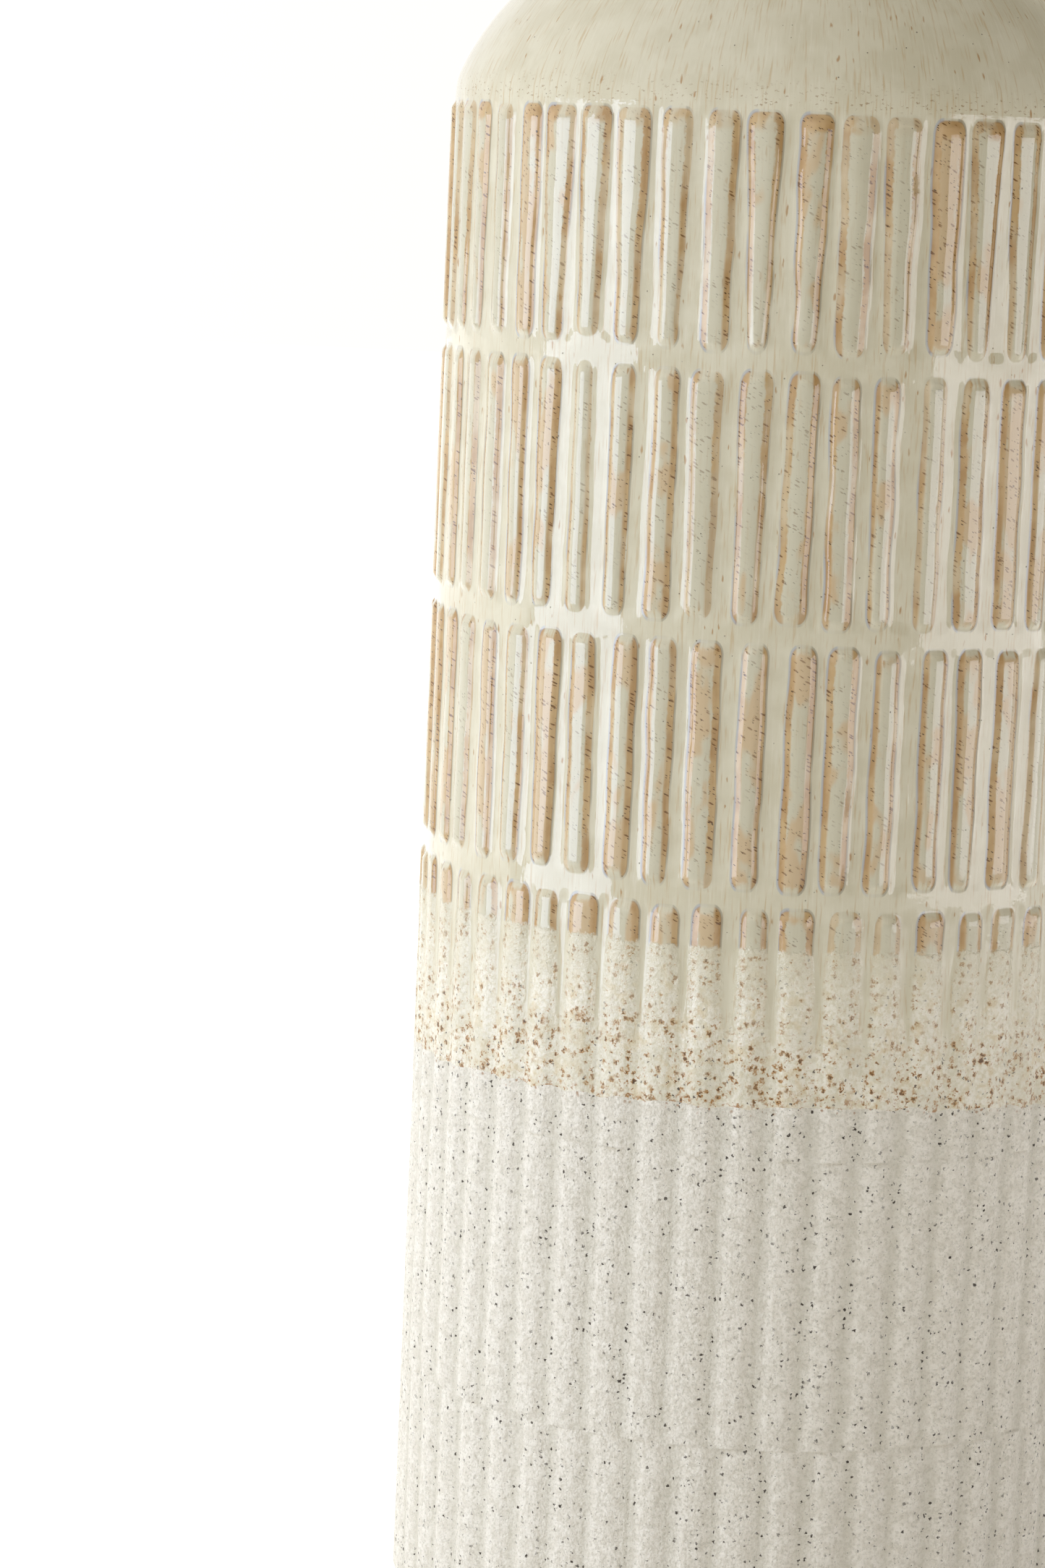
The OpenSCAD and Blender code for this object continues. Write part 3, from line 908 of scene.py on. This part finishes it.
# %% [markdown]
# ## Liner and bare clay
# The liner is the same cream glass, poured in and out again, so it is even and slightly darker.
# The bare clay is a buff stoneware, toasted brown by the kiln, with sand, iron specks and the
# fine rings of the trimming tool. Both could borrow the outer glaze's material, but neither has
# its ribs, its tan flanks or its dashes, so each is mixed from the patterns it really has.

# %% Liner material
# A poured liner glaze: the same glass in a thin even coat, satin to glossy.
g = new_glaze("cream_stoneware_liner_glaze_poured")
cloud = grain(g, 12.0, 3.0, 0.55)
clouded = g.add("MapRange", [cloud, 0.35, 0.65], **SOFT)
runs = g.add("MapRange", [grain(g, 0.9, 2.0, 0.6, 12.0, at=g.run), 0.6, 0.8, 0.0, 0.35], **SOFT)
colour = g.add("Mix", {0: clouded, 6: hue("#C6C1A6"), 7: hue("#CFCBB2")}, **LAID)
colour = stain(g, colour, "#B9A178", runs)
colour = stain(g, colour, "#4A3B2B", specks(g, 3.2, 0.5, 0.5, shift=2.7, keep=0.5), 0.7)
relief = g.add("Math", [grain(g, 3.0, shift=1.0), 0.05], **TIMES)
gloss = g.add("MapRange", [cloud, 0.3, 0.7, 0.10, 0.18], **SOFT)
liner_material = fire(g, colour, gloss, relief, 1.52)

# %% Fired clay material
# Stoneware clay, trimmed on the wheel and fired bare: dry, warm and ringed.
g = new_glaze("stoneware_clay_fired_and_trimmed")
level = g.add("VectorMath", [g.here, (1.0, 1.0, 0.0)], **TIMES)
from_axis = g.add("VectorMath", [level], out="Value", operation="LENGTH")
rings = grain(g, 0.7, 2.0, 0.6, at=g.add("CombineXYZ", [from_axis, 0.0, g.height]))
toast = g.add("MapRange", [grain(g, 18.0, 3.0, 0.55, shift=2.0), 0.35, 0.65], **SOFT)
colour = g.add("Mix", {0: toast, 6: hue("#A98963"), 7: hue("#BFA17C")}, **LAID)
colour = stain(g, colour, "#8F7150", g.add("MapRange", [rings, 0.45, 0.70, 0.0, 0.35], **SOFT))
colour = stain(g, colour, "#D3BD9C", specks(g, 1.2, 0.8, 0.5, shift=4.0, keep=0.5), 0.5)
colour = stain(g, colour, "#4B3423", specks(g, 2.2, 0.8, 0.4, shift=6.0, keep=0.45), 0.85)
grooves = g.add("Math", [rings, 0.10], **TIMES)
grit = g.add("Math", [grain(g, 0.5, 2.0, 0.6), 0.10], **TIMES)
clay_material = fire(g, colour, 0.82, g.add("Math", [grooves, grit], **PLUS), 1.45)

# %% Materials onto the pieces
finishes = {"gloss": gloss_material, "shoulder": gloss_material, "overlap": overlap_material,
            "matte": matte_material, "inside": liner_material, "clay": clay_material}
for name, piece in skins.items():
    piece.data.materials.append(finishes[name.split("_")[0]])
print(len(skins), "pieces finished")

# %% [markdown]
# ## Studio
# A pale floor that glows behind the vase, a large soft light at the left front and a dimmer,
# wider one at the right front. A bright room all round would be simpler, but gloss shows what
# is around it: the two lights give each glossy rib its upright stripe, and the calm room
# between them keeps the glaze's own colour in view. Both lights end level with the shoulder,
# so that from the front the dome shows neither.

# %% Floor and sweep
FLOOR = 6.0  # half the width of the floor, m
FLOOR_LINES = 41
lines = np.linspace(-FLOOR, FLOOR, FLOOR_LINES)
floor_x, floor_y = np.meshgrid(lines, lines)
grid = np.arange(FLOOR_LINES ** 2).reshape(FLOOR_LINES, FLOOR_LINES)
squares = np.stack([grid[:-1, :-1], grid[:-1, 1:], grid[1:, 1:], grid[1:, :-1]], -1).reshape(-1, 4)
floor_mesh = bpy.data.meshes.new("floor")
floor_mesh.from_pydata(np.stack([floor_x, floor_y, 0 * floor_x], -1).reshape(-1, 3), [], squares.tolist())
floor = bpy.data.objects.new("floor", floor_mesh)
bpy.context.scene.collection.objects.link(floor)

paper = Mixture(bpy.data.materials.new("pale_paper_sweep"))
depth = paper.add("SeparateXYZ", [paper.add("TexCoord", out="Object")], out="Y")
lit = paper.add("MapRange", [depth, -0.03, 0.04, 0.0, 0.85], **SOFT)
sheet = paper.add("BsdfPrincipled", {"Base Color": hue("#F4F4F2"), "Roughness": 0.9,
                                     "Emission Color": (1, 1, 1, 1), "Emission Strength": lit})
paper.add("OutputMaterial", {"Surface": sheet})
floor_mesh.materials.append(paper.owner)
print("floor", 2 * FLOOR, "m wide")

# %% Surroundings
# The room is bright behind the vase, and fades from left to right in front of it, where it
# also turns a little warmer.
world = bpy.data.worlds.new("studio")
room = Mixture(world)
view = room.add("SeparateXYZ", [room.add("TexCoord", out="Generated")]).node
across, toward = view.outputs["X"], view.outputs["Y"]
front = room.add("MapRange", [across, -0.3, 0.65, 1.06, 0.0], **SOFT)
back = room.add("MapRange", [toward, 0.45, 0.85, 0.0, 1.08], **SOFT)
glow = room.add("Math", [front, back], **MOST)
warmer = room.add("MapRange", [across, -0.4, 0.6])
cast = room.add("Mix", {0: warmer, 6: hue("#FFFFFF"), 7: hue("#FFF5DE")}, **LAID)
surround = room.add("Background", {"Color": cast, "Strength": glow})
room.add("OutputWorld", {"Surface": surround})
bpy.context.scene.world = world
bpy.context.scene.view_settings.view_transform = "Standard"
print("room", world.name)


# %% Soft lights
def soft_light(name, azimuth, distance, bottom, top, width, radiance, tint):
    """An upright rectangle of light at an azimuth from the camera's side, facing the axis. Power
    is radiance times area times pi, which keeps its brightness as its size changes."""
    height = top - bottom
    data = bpy.data.lights.new(name, "AREA")
    data.shape = "RECTANGLE"
    data.size, data.size_y = width, height
    data.energy = radiance * width * height * math.pi
    data.color = hue(tint)[:3]
    light = bpy.data.objects.new(name, data)
    bpy.context.scene.collection.objects.link(light)
    turn = math.radians(azimuth)
    light.location = (distance * math.sin(turn), -distance * math.cos(turn), (bottom + top) / 2)
    light.rotation_euler = (math.radians(90), 0, turn)
    print(name, round(data.energy, 2), "W")


soft_light("left_softbox", -67, 0.85, 0.004, 0.341, 0.53, 4.1, "#DCE8FF")
soft_light("right_softbox", 69, 1.1, 0.004, 0.342, 0.98, 2.65, "#FBF9FF")
